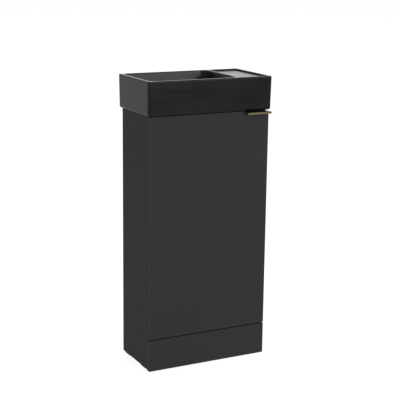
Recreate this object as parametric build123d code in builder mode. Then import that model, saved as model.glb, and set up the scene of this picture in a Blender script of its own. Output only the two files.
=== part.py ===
from build123d import *
import os

# Floor-standing cloakroom wash stand: a cupboard with one door and a plinth, carrying a rectangular basin.
# Frame: +X to the object's right, -Y to the front, +Z up. The origin is on the floor, in the middle of the
# width and the depth of the whole object. All sizes are in millimetres.

os.makedirs("parts", exist_ok=True)

# ---------------------------------------------------------------- overall sizes
basin_width = 402.0
basin_depth = 217.0
basin_height = 100.0
cabinet_height = 766.0          # floor to the basin's underside
side_overhang = 7.0             # basin beyond the cabinet, each side
front_overhang = 6.0            # basin beyond the door's face
back_overhang = 16.0            # basin beyond the cabinet's back, which clears a skirting board

# ---------------------------------------------------------------- boards and gaps
board = 16.0                    # carcass boards
door_board = 16.0
door_gap = 2.0                  # closed door to the carcass's front edges
door_top_gap = 1.5              # door to the basin's underside
plinth_gap = 3.5                # door to plinth
plinth_top = 97.0
plinth_floor_gap = 1.0
base_lip = 7.0                  # base board's top above the plinth's top
rail_depth = 50.0               # front rail, which lies flat
rail_height = 60.0              # rear rails, which stand on edge
rail_setback = 4.0              # front rail behind the side panels' front edges
lower_rail_bottom = 470.0
back_board = 6.0
back_inset = 12.0               # back board ahead of the carcass's rear edge
groove_depth = 5.0
shelf_bottom = 390.0
shelf_side_gap = 1.0
shelf_setback = 14.0
shelf_back_gap = 2.0
press_clearance = 0.05          # a pin or a screw in its hole

# ---------------------------------------------------------------- feet, pins and fittings
glide_length = 40.0
glide_width = 14.0
glide_height = 3.5
glide_end_inset = 10.0
glide_corner_radius = 4.5
glide_edge_radius = 0.9
glide_nail_radius = 1.25
glide_nail_length = 12.0
shelf_pin_radius = 2.5
shelf_pin_depth = 10.0
shelf_pin_reach = 9.0
shelf_pin_inset = 30.0
shelf_pin_pitch = 32.0
shelf_pin_rows = 5
dowel_radius = 3.5
base_dowel_front_inset = 32.0
base_dowel_back_inset = 40.0
dowel_panel_depth = 11.0
cam_radius = 7.5
cam_depth = 12.5
cam_offset = 24.0               # cam centre from the board's end
cam_slot_clearance = 0.2
plinth_dowel_radius = 4.0
plinth_dowel_depth = 10.0
plinth_dowel_spacing = 48.0
wall_hole_radius = 4.0
wall_hole_spacing = 250.0

# ---------------------------------------------------------------- basin
basin_draft = 1.5               # the outer walls lean in towards the bottom
basin_corner_radius = 8.0
basin_top_radius = 3.5
basin_bottom_radius = 6.0
basin_wall = 9.0
rim_width = 10.0
deck_width = 95.0
deck_drop = 4.5
deck_corner_radius = 6.0
deck_crest = 8.0                # land between the deck and the bowl
bowl_depth = 72.0
bowl_corner_radius = 22.0
bowl_floor_radius = 14.0
bowl_taper = 12.0
bowl_edge_radius = 2.0
waste_hole_radius = 23.0

# ---------------------------------------------------------------- waste and trap
waste_flange_radius = 31.5
waste_flange_height = 3.0
waste_flange_edge = 1.8
waste_seal = 1.5
waste_tail_radius = 20.0
waste_tail_wall = 2.5
waste_nut_radius = 30.0
waste_nut_height = 10.0
waste_nut_chamfer = 1.5
plug_radius = 28.0
plug_height = 4.0
plug_edge = 2.2
plug_rest_gap = 0.4
plug_travel = 8.0
plug_stem_radius = 4.0
plug_stem_length = 34.0
stem_clearance = 0.05
sleeve_radius = 6.5
sleeve_length = 22.0
web_thickness = 2.0
trap_body_radius = 30.0
trap_wall = 2.5
trap_body_height = 104.0
trap_nut_height = 24.0
trap_nut_wall = 5.0
trap_nut_chamfer = 1.25
trap_inlet_overlap = 14.0
trap_cup_height = 42.0
trap_cup_overlap = 22.0
trap_cup_edge = 4.0
trap_outlet_drop = 32.0         # outlet axis below the trap body's shoulder
trap_pipe_radius = 16.0
trap_pipe_wall = 2.0
pipe_rail_clearance = 27.5      # pipe axis below the upper rear rail
pipe_free_length = 50.0         # plain pipe end, from the wall to the bead that stops a coupling
pipe_bead_width = 2.0
pipe_bead_height = 1.6
trap_spigot_length = 16.0
seal_height = 4.0
thread_clearance = 0.1

# ---------------------------------------------------------------- hinges
# In plan, u runs inward from the left side panel's outer face and v runs forward from its front edge.
hinge_end_distance = 100.0      # hinge centre from the door's top and bottom edges
cup_u = 22.5
cup_radius = 17.5
cup_wall = 1.1
cup_height = 12.5
cup_floor = 0.9
cup_flange = 1.2
cup_flange_width = 26.0
cup_flange_height = 57.5
cup_flange_corner = 3.2
cup_screw_spread = 24.0
cup_screw_radius = 1.75
cup_screw_length = 9.0
cup_screw_head = 3.2
hinge_pin_radius = 1.1
hinge_pin_clearance = 0.05
open_pivot_clearance = 0.25
arm_pivot_uv = (32.9, 10.0)     # link's pin in the arm's nose
cup_pivot_uv = (14.25, 3.8)     # link's pin in the cup
arm_elbow_uv = (22.7, -7.8)
link_half_width = 2.0
link_half_height = 6.0
link_side_clearance = 0.25
nose_half_width = 2.2
arm_sheet = 1.5
arm_end_v = -70.0
arm_web_v = -11.0
plate_thickness = 2.0
plate_v = (-30.0, -44.0)
plate_half_height = 27.0
plate_corner_radius = 3.5
plate_screw_spread = 16.0
plate_screw_radius = 2.5
plate_screw_length = 13.0
plate_screw_head = 4.5
rib_clearance = 0.3
arm_screw_radius = 2.0
arm_screw_head = 3.6

# ---------------------------------------------------------------- door handle
handle_length = 80.0
handle_plate = 2.0
handle_reach = 18.0             # lip in front of the door's face
handle_lip_height = 6.0
handle_leg_length = 24.0
handle_notch = 4.5              # notch floor below the door's top edge
handle_notch_play = 2.0
handle_lip_radius = 3.0
handle_fold_radius = 1.2
handle_screw_radius = 1.75
handle_screw_length = 12.0
handle_screw_drop = 14.4
screw_head_radius = 3.5
screw_head_height = 2.0
buffer_radius = 4.0
buffer_height = 1.6
buffer_inset = 8.0
buffer_drop = 45.0

# ---------------------------------------------------------------- derived places
overall_depth = basin_depth + handle_reach - front_overhang
y_back = overall_depth / 2                        # the wall, and the basin's back
y_basin_front = y_back - basin_depth
y_door_front = y_basin_front + front_overhang
y_door_back = y_door_front + door_board
y_carcass_front = y_door_back + door_gap
y_carcass_back = y_back - back_overhang
y_basin_middle = (y_back + y_basin_front) / 2

half_cabinet = basin_width / 2 - side_overhang
half_inside = half_cabinet - board
z_rim = cabinet_height + basin_height
z_side_bottom = glide_height
z_base_top = plinth_top + base_lip
z_base_bottom = z_base_top - board
z_door_bottom = plinth_top + plinth_gap
z_door_top = cabinet_height - door_top_gap
z_rail_bottom = cabinet_height - board
z_rear_rail_bottom = cabinet_height - rail_height
y_back_board_rear = y_carcass_back - back_inset
y_back_board_front = y_back_board_rear - back_board
y_rear_rail_front = y_carcass_back - board

bowl_left = -basin_width / 2 + rim_width
deck_right = basin_width / 2 - rim_width
deck_left = deck_right - deck_width
bowl_right = deck_left - deck_crest
bowl_width = bowl_right - bowl_left
bowl_length = basin_depth - 2 * rim_width
x_waste = (bowl_left + bowl_right) / 2
y_waste = y_basin_middle
z_bowl_floor = z_rim - bowl_depth
z_bowl_under = z_bowl_floor - basin_wall


# ---------------------------------------------------------------- shared helpers
def save(builder, name):
    """Label a finished piece and write it as the node of the same name."""
    builder.part.label = name
    export_step(builder.part, f"parts/{name}.step")


def block(low, high, mode=Mode.ADD):
    """Add a box to the open part, given its lowest and its highest corner."""
    low, high = Vector(*low), Vector(*high)
    size = high - low
    with Locations((low + high) * 0.5):
        Box(size.X, size.Y, size.Z, mode=mode)


def rod(start, end, radius, mode=Mode.ADD):
    """Add a cylinder to the open part, between the centres of its two ends."""
    start, end = Vector(*start), Vector(*end)
    with Locations(Plane(origin=start, z_dir=end - start)):
        Cylinder(radius, (end - start).length, align=(Align.CENTER, Align.CENTER, Align.MIN), mode=mode)


def mirrored_x(x):
    """The two mirrored places of something that the object has on its left and on its right."""
    return (-x, x)


# ---------------------------------------------------------------- fastener places
x_cam = half_inside - cam_offset
base_dowel_ys = (y_carcass_front + base_dowel_front_inset, y_carcass_back - base_dowel_back_inset)
front_rail_y = y_carcass_front + rail_setback + rail_depth / 2

# Each place is the dowel's y and z, and the direction in which the cam's pocket opens.
cam_places = [(y, z_base_bottom + board / 2, (0, 0, -1)) for y in base_dowel_ys]
cam_places.append((front_rail_y, z_rail_bottom + board / 2, (0, 0, -1)))
cam_places.append((y_rear_rail_front + board / 2, z_rear_rail_bottom + rail_height / 2, (0, -1, 0)))
cam_places.append((y_rear_rail_front + board / 2, lower_rail_bottom + rail_height / 2, (0, -1, 0)))

shelf_pin_ys = (y_carcass_front + shelf_pin_inset, y_back_board_front - shelf_pin_inset)
z_shelf_pin = shelf_bottom - shelf_pin_radius
shelf_pin_zs = [z_shelf_pin + shelf_pin_pitch * (row - shelf_pin_rows // 2) for row in range(shelf_pin_rows)]

plinth_dowel_zs = [plinth_top / 2 + side * plinth_dowel_spacing / 2 for side in (-1, 1)]
glide_ys = (y_carcass_front + glide_end_inset + glide_length / 2,
            y_carcass_back - glide_end_inset - glide_length / 2)


def cam_mouth(y, z, opening):
    """Centre of the cam pocket's mouth, on the board's face, for a dowel at y and z."""
    return Vector(0, y, z) + Vector(*opening) * (board / 2)


def cut_cam_seats(places):
    """Cut the cam pockets and dowel holes into a board that runs from side to side."""
    for y, z, opening in places:
        for side in (-1, 1):
            mouth = cam_mouth(y, z, opening) + Vector(side * x_cam, 0, 0)
            floor = mouth - Vector(*opening) * cam_depth
            rod(mouth, floor, cam_radius + press_clearance, mode=Mode.SUBTRACT)
            rod((side * x_cam, y, z), (side * half_inside, y, z), dowel_radius + press_clearance,
                mode=Mode.SUBTRACT)


# ---------------------------------------------------------------- hinge places
hinge_zs = {"upper": z_door_top - hinge_end_distance, "lower": z_door_bottom + hinge_end_distance}
plate_v_middle = sum(plate_v) / 2


def plan(u, v):
    """World x and y of a hinge point given by u and v."""
    return (-half_cabinet + u, y_carcass_front - v)


def strap(points, half_width):
    """Add a round-ended strap through the points to the open sketch."""
    for point in points:
        with Locations(point):
            Circle(half_width)
    for start, end in zip(points, points[1:]):
        run = Vector(*end) - Vector(*start)
        middle = (Vector(*end) + Vector(*start)) * 0.5
        with Locations(Location(middle, (0, 0, run.get_signed_angle(Vector(1, 0, 0), Vector(0, 0, -1))))):
            Rectangle(run.length, 2 * half_width)


def cup_shape(z, radius, mode=Mode.ADD):
    """Add a hinge cup's outer body and flush flange to the open part."""
    cup_x, cup_y = plan(cup_u, door_gap)
    rod((cup_x, cup_y, z), (cup_x, cup_y - cup_height, z), radius, mode=mode)
    with BuildSketch(Plane(origin=(cup_x, cup_y, z), x_dir=(1, 0, 0), z_dir=(0, -1, 0))) as flange:
        RectangleRounded(cup_flange_width, cup_flange_height, cup_flange_corner)
    extrude(flange.sketch, amount=cup_flange, mode=mode)


# ---------------------------------------------------------------- carcass
for side, name in ((-1, "side_panel_left"), (1, "side_panel_right")):
    with BuildPart() as side_panel:
        block((min(side * half_inside, side * half_cabinet), y_carcass_front, z_side_bottom),
              (max(side * half_inside, side * half_cabinet), y_carcass_back, cabinet_height))
        groove_floor = side * (half_inside + groove_depth)
        block((min(side * half_inside, groove_floor), y_back_board_front, z_base_top),
              (max(side * half_inside, groove_floor), y_back_board_rear, lower_rail_bottom),
              mode=Mode.SUBTRACT)
        for y in shelf_pin_ys:
            for z in shelf_pin_zs:
                rod((side * half_inside, y, z), (side * (half_inside + shelf_pin_depth), y, z),
                    shelf_pin_radius + press_clearance, mode=Mode.SUBTRACT)
        for y, z, opening in cam_places:
            rod((side * half_inside, y, z), (side * (half_inside + dowel_panel_depth), y, z),
                dowel_radius + press_clearance, mode=Mode.SUBTRACT)
        for z in plinth_dowel_zs:
            x_middle = side * (half_inside + board / 2)
            rod((x_middle, y_carcass_front, z), (x_middle, y_carcass_front + plinth_dowel_depth, z),
                plinth_dowel_radius + press_clearance, mode=Mode.SUBTRACT)
        for y in glide_ys:
            x_middle = side * (half_inside + board / 2)
            rod((x_middle, y, z_side_bottom), (x_middle, y, z_side_bottom + glide_nail_length),
                glide_nail_radius + press_clearance, mode=Mode.SUBTRACT)
        if side < 0:
            for z_hinge in hinge_zs.values():
                for z in (z_hinge - plate_screw_spread, z_hinge + plate_screw_spread):
                    x, y = plan(board, plate_v_middle)
                    rod((x, y, z), (x - plate_screw_length, y, z),
                        plate_screw_radius + press_clearance, mode=Mode.SUBTRACT)
    save(side_panel, name)

with BuildPart() as base_board:
    block((-half_inside, y_carcass_front, z_base_bottom), (half_inside, y_carcass_back, z_base_top))
    cut_cam_seats([place for place in cam_places if place[1] < z_base_top])
save(base_board, "base_board")

with BuildPart() as front_rail:
    block((-half_inside, y_carcass_front + rail_setback, z_rail_bottom),
          (half_inside, y_carcass_front + rail_setback + rail_depth, cabinet_height))
    cut_cam_seats([place for place in cam_places if place[0] == front_rail_y])
save(front_rail, "front_rail")

for z_low, name in ((z_rear_rail_bottom, "rear_rail_upper"), (lower_rail_bottom, "rear_rail_lower")):
    with BuildPart() as rear_rail:
        block((-half_inside, y_rear_rail_front, z_low), (half_inside, y_carcass_back, z_low + rail_height))
        cut_cam_seats([place for place in cam_places
                       if z_low < place[1] < z_low + rail_height and place[2][1] < 0])
        for x in mirrored_x(wall_hole_spacing / 2):
            z_hole = z_low + rail_height / 2
            rod((x, y_rear_rail_front, z_hole), (x, y_carcass_back, z_hole), wall_hole_radius,
                mode=Mode.SUBTRACT)
    save(rear_rail, name)

with BuildPart() as back_panel:
    half_back = half_inside + groove_depth - press_clearance
    block((-half_back, y_back_board_front, z_base_top), (half_back, y_back_board_rear, lower_rail_bottom))
save(back_panel, "back_panel")

with BuildPart() as shelf:
    block((-half_inside + shelf_side_gap, y_carcass_front + shelf_setback, shelf_bottom),
          (half_inside - shelf_side_gap, y_back_board_front - shelf_back_gap, shelf_bottom + board))
save(shelf, "shelf")

with BuildPart() as plinth:
    block((-half_cabinet, y_door_front, plinth_floor_gap), (half_cabinet, y_carcass_front, plinth_top))
    for x in mirrored_x(half_inside + board / 2):
        for z in plinth_dowel_zs:
            rod((x, y_carcass_front, z), (x, y_carcass_front - plinth_dowel_depth, z),
                plinth_dowel_radius + press_clearance, mode=Mode.SUBTRACT)
save(plinth, "plinth")

# ---------------------------------------------------------------- carcass fasteners and fittings
with BuildPart() as cam_locks:
    for y, z, opening in cam_places:
        for side in (-1, 1):
            mouth = cam_mouth(y, z, opening) + Vector(side * x_cam, 0, 0)
            floor = mouth - Vector(*opening) * cam_depth
            rod(mouth, floor, cam_radius)
    for y, z, opening in cam_places:
        for side in (-1, 1):
            rod((side * x_cam, y, z), (side * (x_cam + 2 * cam_radius), y, z),
                dowel_radius + cam_slot_clearance, mode=Mode.SUBTRACT)
save(cam_locks, "cam_locks")

with BuildPart() as cam_dowels:
    for y, z, opening in cam_places:
        for side in (-1, 1):
            rod((side * (x_cam + dowel_radius), y, z), (side * (half_inside + dowel_panel_depth), y, z),
                dowel_radius)
save(cam_dowels, "cam_dowels")

with BuildPart() as plinth_dowels:
    for x in mirrored_x(half_inside + board / 2):
        for z in plinth_dowel_zs:
            rod((x, y_carcass_front - plinth_dowel_depth, z), (x, y_carcass_front + plinth_dowel_depth, z),
                plinth_dowel_radius)
save(plinth_dowels, "plinth_dowels")

with BuildPart() as shelf_pins:
    for side in (-1, 1):
        for y in shelf_pin_ys:
            rod((side * (half_inside + shelf_pin_depth), y, z_shelf_pin),
                (side * (half_inside - shelf_pin_reach), y, z_shelf_pin), shelf_pin_radius)
save(shelf_pins, "shelf_pins")

with BuildPart() as glides:
    for x in mirrored_x(half_inside + board / 2):
        for y in glide_ys:
            block((x - glide_width / 2, y - glide_length / 2, 0),
                  (x + glide_width / 2, y + glide_length / 2, glide_height))
    fillet(glides.edges().filter_by(Axis.Z), glide_corner_radius)
    fillet(glides.faces().filter_by(Axis.Z).group_by(Axis.Z)[0].edges(), glide_edge_radius)
    for x in mirrored_x(half_inside + board / 2):
        for y in glide_ys:
            rod((x, y, glide_height), (x, y, glide_height + glide_nail_length), glide_nail_radius)
save(glides, "glides")


# ---------------------------------------------------------------- basin
def bowl_outline(growth):
    """Add the bowl's outline at the rim, grown outward, to the open sketch."""
    with Locations(((bowl_left + bowl_right) / 2, y_basin_middle)):
        RectangleRounded(bowl_width + 2 * growth, bowl_length + 2 * growth, bowl_corner_radius + growth)


with BuildPart() as basin_hollow:
    hollow_top = z_rim - deck_drop - basin_wall
    shell = basin_draft + basin_wall
    block((-basin_width / 2 + shell, y_basin_front + shell, cabinet_height),
          (basin_width / 2 - shell, y_back - shell, hollow_top))
    with BuildSketch(Plane.XY.offset(z_rim)):
        bowl_outline(basin_wall)
    extrude(amount=-(bowl_depth + basin_wall), taper=bowl_taper, mode=Mode.SUBTRACT)

with BuildPart() as basin:
    with BuildSketch(Plane.XY.offset(cabinet_height)):
        with Locations((0, y_basin_middle)):
            RectangleRounded(basin_width - 2 * basin_draft, basin_depth - 2 * basin_draft,
                             basin_corner_radius)
    with BuildSketch(Plane.XY.offset(z_rim)):
        with Locations((0, y_basin_middle)):
            RectangleRounded(basin_width, basin_depth, basin_corner_radius)
    loft()
    fillet(basin.faces().sort_by(Axis.Z)[-1].edges(), basin_top_radius)
    fillet(basin.faces().sort_by(Axis.Z)[0].edges(), basin_bottom_radius)
    with BuildSketch(Plane.XY.offset(z_rim)):
        bowl_outline(0)
    extrude(amount=-bowl_depth, taper=bowl_taper, mode=Mode.SUBTRACT)
    fillet(basin.edges().filter_by_position(Axis.Z, z_bowl_floor - 1, z_bowl_floor + 1), bowl_floor_radius)
    with BuildSketch(Plane.XY.offset(z_rim)):
        with Locations(((deck_left + deck_right) / 2, y_basin_middle)):
            RectangleRounded(deck_width, bowl_length, deck_corner_radius)
    extrude(amount=-deck_drop, mode=Mode.SUBTRACT)
    inner_edges = basin.faces().filter_by(Axis.Z).sort_by(Axis.Z)[-1].inner_wires().edges()
    fillet(inner_edges, bowl_edge_radius)
    add(basin_hollow.part, mode=Mode.SUBTRACT)
    rod((x_waste, y_waste, cabinet_height), (x_waste, y_waste, z_rim), waste_hole_radius, mode=Mode.SUBTRACT)
save(basin, "basin")

# ---------------------------------------------------------------- waste
z_flange_bottom = z_bowl_floor + waste_seal
z_flange_top = z_flange_bottom + waste_flange_height
z_outlet = z_rear_rail_bottom - pipe_rail_clearance
z_shoulder = z_outlet + trap_outlet_drop
z_trap_top = z_shoulder + trap_nut_height
z_tail_bottom = z_trap_top - trap_inlet_overlap
z_nut_top = z_bowl_under - waste_seal
waste_bore = waste_tail_radius - waste_tail_wall
z_web_top = z_flange_bottom - plug_travel
z_web_bottom = z_web_top - sleeve_length


def at_waste(z):
    """Point on the waste's axis at the height z."""
    return (x_waste, y_waste, z)


def ring(z_low, z_high, outer, inner):
    """Add a plain ring round the waste's axis to the open part."""
    with BuildSketch(Plane.XY.offset(z_low)) as profile:
        with Locations((x_waste, y_waste)):
            Circle(outer)
            Circle(inner, mode=Mode.SUBTRACT)
    extrude(profile.sketch, amount=z_high - z_low)


with BuildPart() as waste_body:
    ring(z_flange_bottom, z_flange_top, waste_flange_radius, waste_bore)
    fillet(waste_body.edges().filter_by(GeomType.CIRCLE).group_by(Axis.Z)[-1].sort_by(SortBy.RADIUS)[-1],
           waste_flange_edge)
    ring(z_tail_bottom, z_flange_bottom, waste_tail_radius, waste_bore)
    for turn in (0, 60, 120):
        with BuildSketch(Plane.XY.offset(z_web_bottom)):
            with Locations(Location((x_waste, y_waste, 0), (0, 0, turn))):
                Rectangle(2 * waste_bore + waste_tail_wall, web_thickness)
        extrude(amount=sleeve_length)
    rod(at_waste(z_web_bottom), at_waste(z_web_top), sleeve_radius, mode=Mode.SUBTRACT)
save(waste_body, "waste_body")

with BuildPart() as waste_sleeve:
    ring(z_web_bottom, z_web_top, sleeve_radius, plug_stem_radius + stem_clearance)
save(waste_sleeve, "waste_sleeve")

with BuildPart() as waste_plug:
    z_plug_bottom = z_flange_top + plug_rest_gap
    rod(at_waste(z_plug_bottom), at_waste(z_plug_bottom + plug_height), plug_radius)
    fillet(waste_plug.edges().group_by(Axis.Z)[-1], plug_edge)
    rod(at_waste(z_plug_bottom - plug_stem_length), at_waste(z_plug_bottom), plug_stem_radius)
save(waste_plug, "waste_plug")

with BuildPart() as waste_seals:
    ring(z_bowl_floor, z_flange_bottom, waste_flange_radius - waste_seal, waste_tail_radius)
    ring(z_nut_top, z_bowl_under, waste_nut_radius - waste_seal, waste_tail_radius)
save(waste_seals, "waste_seals")

with BuildPart() as waste_nut:
    with BuildSketch(Plane.XY.offset(z_nut_top - waste_nut_height)):
        with Locations((x_waste, y_waste)):
            RegularPolygon(waste_nut_radius, 6)
            Circle(waste_tail_radius + thread_clearance, mode=Mode.SUBTRACT)
    extrude(amount=waste_nut_height)
    chamfer(waste_nut.edges().group_by(Axis.Z)[0].filter_by(GeomType.LINE), waste_nut_chamfer)
save(waste_nut, "waste_nut")

# ---------------------------------------------------------------- bottle trap
z_trap_bottom = z_trap_top - trap_body_height
neck_bore = waste_tail_radius + thread_clearance
neck_radius = neck_bore + trap_wall
dip_radius = waste_tail_radius - trap_wall
y_spigot_end = y_waste + trap_body_radius + trap_spigot_length
spigot_bore = trap_pipe_radius + thread_clearance
spigot_radius = spigot_bore + trap_wall
z_seal_floor = z_trap_top - seal_height

with BuildPart() as trap_body:
    ring(z_shoulder - trap_wall, z_seal_floor, neck_radius, neck_bore)
    ring(z_shoulder - trap_wall, z_shoulder, trap_body_radius, dip_radius - trap_wall)
    ring(z_trap_bottom, z_shoulder, trap_body_radius, trap_body_radius - trap_wall)
    ring(z_trap_bottom, z_shoulder - trap_wall, dip_radius, dip_radius - trap_wall)
    outlet_start = Vector(x_waste, y_waste + trap_body_radius - trap_wall, z_outlet)
    rod(outlet_start, (x_waste, y_spigot_end, z_outlet), spigot_radius)
    rod(outlet_start - Vector(0, trap_wall, 0), (x_waste, y_spigot_end, z_outlet), spigot_bore,
        mode=Mode.SUBTRACT)
save(trap_body, "trap_body")

with BuildPart() as trap_cup:
    cup_inner = trap_body_radius + thread_clearance
    z_cup_top = z_trap_bottom + trap_cup_overlap
    ring(z_cup_top - trap_cup_height, z_cup_top, cup_inner + trap_nut_wall, cup_inner)
    rod(at_waste(z_cup_top - trap_cup_height), at_waste(z_cup_top - trap_cup_height + trap_wall),
        cup_inner + trap_nut_wall)
    fillet(trap_cup.edges().group_by(Axis.Z)[0], trap_cup_edge)
save(trap_cup, "trap_cup")

with BuildPart() as trap_inlet_nut:
    nut_bore = neck_radius + thread_clearance
    ring(z_shoulder, z_trap_top, nut_bore + trap_nut_wall, nut_bore)
    ring(z_trap_top, z_trap_top + trap_wall, nut_bore + trap_nut_wall, neck_bore)
    chamfer(trap_inlet_nut.edges().group_by(Axis.Z)[-1].sort_by(SortBy.RADIUS)[-1], trap_nut_chamfer)
save(trap_inlet_nut, "trap_inlet_nut")

with BuildPart() as trap_pipe:
    pipe_start = Vector(x_waste, y_waste + trap_body_radius, z_outlet)
    pipe_end = Vector(x_waste, y_back, z_outlet)
    rod(pipe_start, pipe_end, trap_pipe_radius)
    bead_end = pipe_end - Vector(0, pipe_free_length, 0)
    rod(bead_end - Vector(0, pipe_bead_width, 0), bead_end, trap_pipe_radius + pipe_bead_height)
    rod(pipe_start, pipe_end, trap_pipe_radius - trap_pipe_wall, mode=Mode.SUBTRACT)
save(trap_pipe, "trap_pipe")

with BuildPart() as trap_outlet_nut:
    nut_start = Vector(x_waste, y_waste + trap_body_radius + trap_wall, z_outlet)
    lip_start = Vector(x_waste, y_spigot_end + seal_height, z_outlet)
    lip_end = lip_start + Vector(0, trap_wall, 0)
    rod(nut_start, lip_end, spigot_radius + trap_nut_wall)
    rod(nut_start, lip_start, spigot_radius + thread_clearance, mode=Mode.SUBTRACT)
    rod(lip_start, lip_end, spigot_bore, mode=Mode.SUBTRACT)
save(trap_outlet_nut, "trap_outlet_nut")

with BuildPart() as trap_seals:
    ring(z_seal_floor, z_trap_top, neck_radius, waste_tail_radius)
    seal_start = Vector(x_waste, y_spigot_end, z_outlet)
    seal_end = seal_start + Vector(0, seal_height, 0)
    rod(seal_start, seal_end, spigot_radius)
    rod(seal_start, seal_end, trap_pipe_radius, mode=Mode.SUBTRACT)
save(trap_seals, "trap_seals")

# ---------------------------------------------------------------- handle
x_handle_end = half_cabinet
x_handle_start = x_handle_end - handle_length
x_leg_end = half_inside - handle_notch_play
z_notch = z_door_top - handle_notch
y_lip_front = y_door_front - handle_reach
z_plate_top = z_notch + handle_plate
z_handle_screw = z_notch - handle_screw_drop
handle_screw_xs = (x_handle_start + handle_leg_length / 2, x_leg_end - handle_leg_length / 2)

with BuildPart() as door_handle:
    with BuildSketch(Plane.YZ.offset(x_handle_start)):
        with BuildLine():
            Polyline((y_lip_front, z_plate_top), (y_door_back + handle_plate, z_plate_top),
                     (y_door_back + handle_plate, z_notch - handle_leg_length),
                     (y_door_back, z_notch - handle_leg_length), (y_door_back, z_notch),
                     (y_lip_front + handle_plate, z_notch),
                     (y_lip_front + handle_plate, z_plate_top - handle_lip_height),
                     (y_lip_front, z_plate_top - handle_lip_height), close=True)
        make_face()
    extrude(amount=handle_length)
    block((x_leg_end, y_door_back, z_notch - handle_leg_length),
          (x_handle_end, y_door_back + handle_plate, z_plate_top), mode=Mode.SUBTRACT)
    lip_corners = door_handle.edges().filter_by(Axis.Y).group_by(Axis.Y)[0].group_by(Axis.Z)[0]
    fillet(lip_corners, handle_lip_radius)
    fold_edge = door_handle.edges().filter_by(Axis.X).group_by(Axis.Z)[-1].group_by(Axis.Y)[0]
    fillet(fold_edge, handle_fold_radius)
    for x in handle_screw_xs:
        rod((x, y_door_back, z_handle_screw), (x, y_door_back + handle_plate, z_handle_screw),
            handle_screw_radius + press_clearance, mode=Mode.SUBTRACT)
save(door_handle, "door_handle")

with BuildPart() as handle_screws:
    for x in handle_screw_xs:
        head_start = Vector(x, y_door_back + handle_plate, z_handle_screw)
        rod(head_start, head_start + Vector(0, screw_head_height, 0), screw_head_radius)
        rod(head_start, head_start - Vector(0, handle_screw_length, 0), handle_screw_radius)
save(handle_screws, "handle_screws")

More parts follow.
